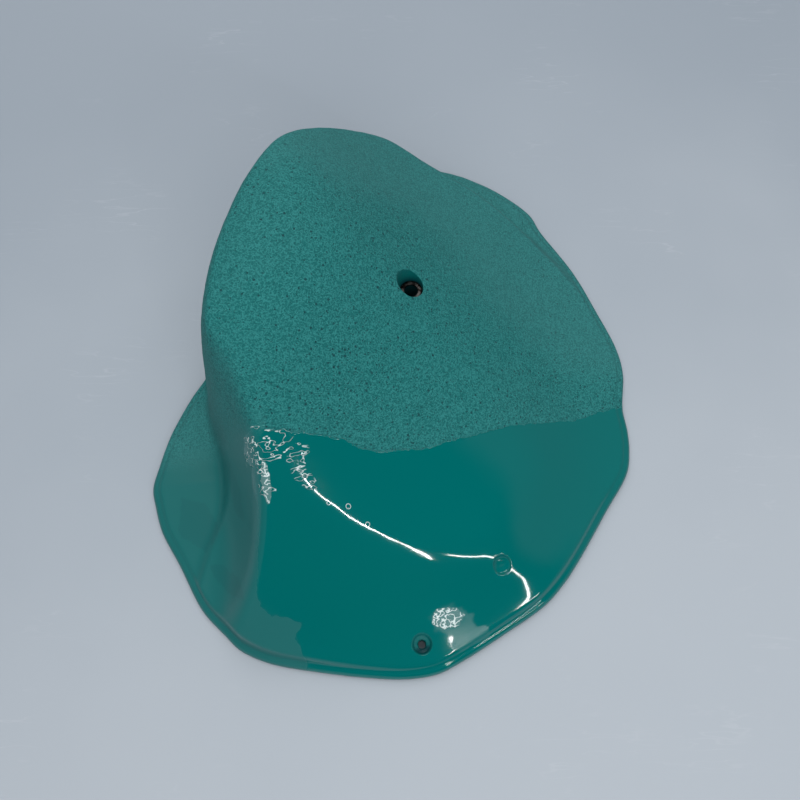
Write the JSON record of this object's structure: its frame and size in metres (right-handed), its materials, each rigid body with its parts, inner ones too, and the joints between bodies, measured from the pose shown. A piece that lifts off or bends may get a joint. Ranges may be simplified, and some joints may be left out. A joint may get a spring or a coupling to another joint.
{
  "type": "climbing hold",
  "caption": "Large dual-texture climbing hold: a leaning sloper with a porous top, a mirror-gloss lower apron with a crisp ridge, a counterbored bolt bore and a set-screw hole.",
  "frame": {"origin": "middle of the back's bounding rectangle, on the plane that meets the climbing wall", "axes": "+Z away from the climbing wall, +Y along the hold towards its tall end, +X across it towards the long slope"},
  "size_m": [0.4036, 0.472, 0.1797],
  "materials": {
    "casting": "sandy and porous on the upper body and mirror gloss on the lower apron, one colour all through",
    "washer_steel": "dull zinc"
  },
  "bodies": {
    "root": {"hold_body": "casting", "bolt_washer": "washer_steel"}
  },
  "joints": []
}
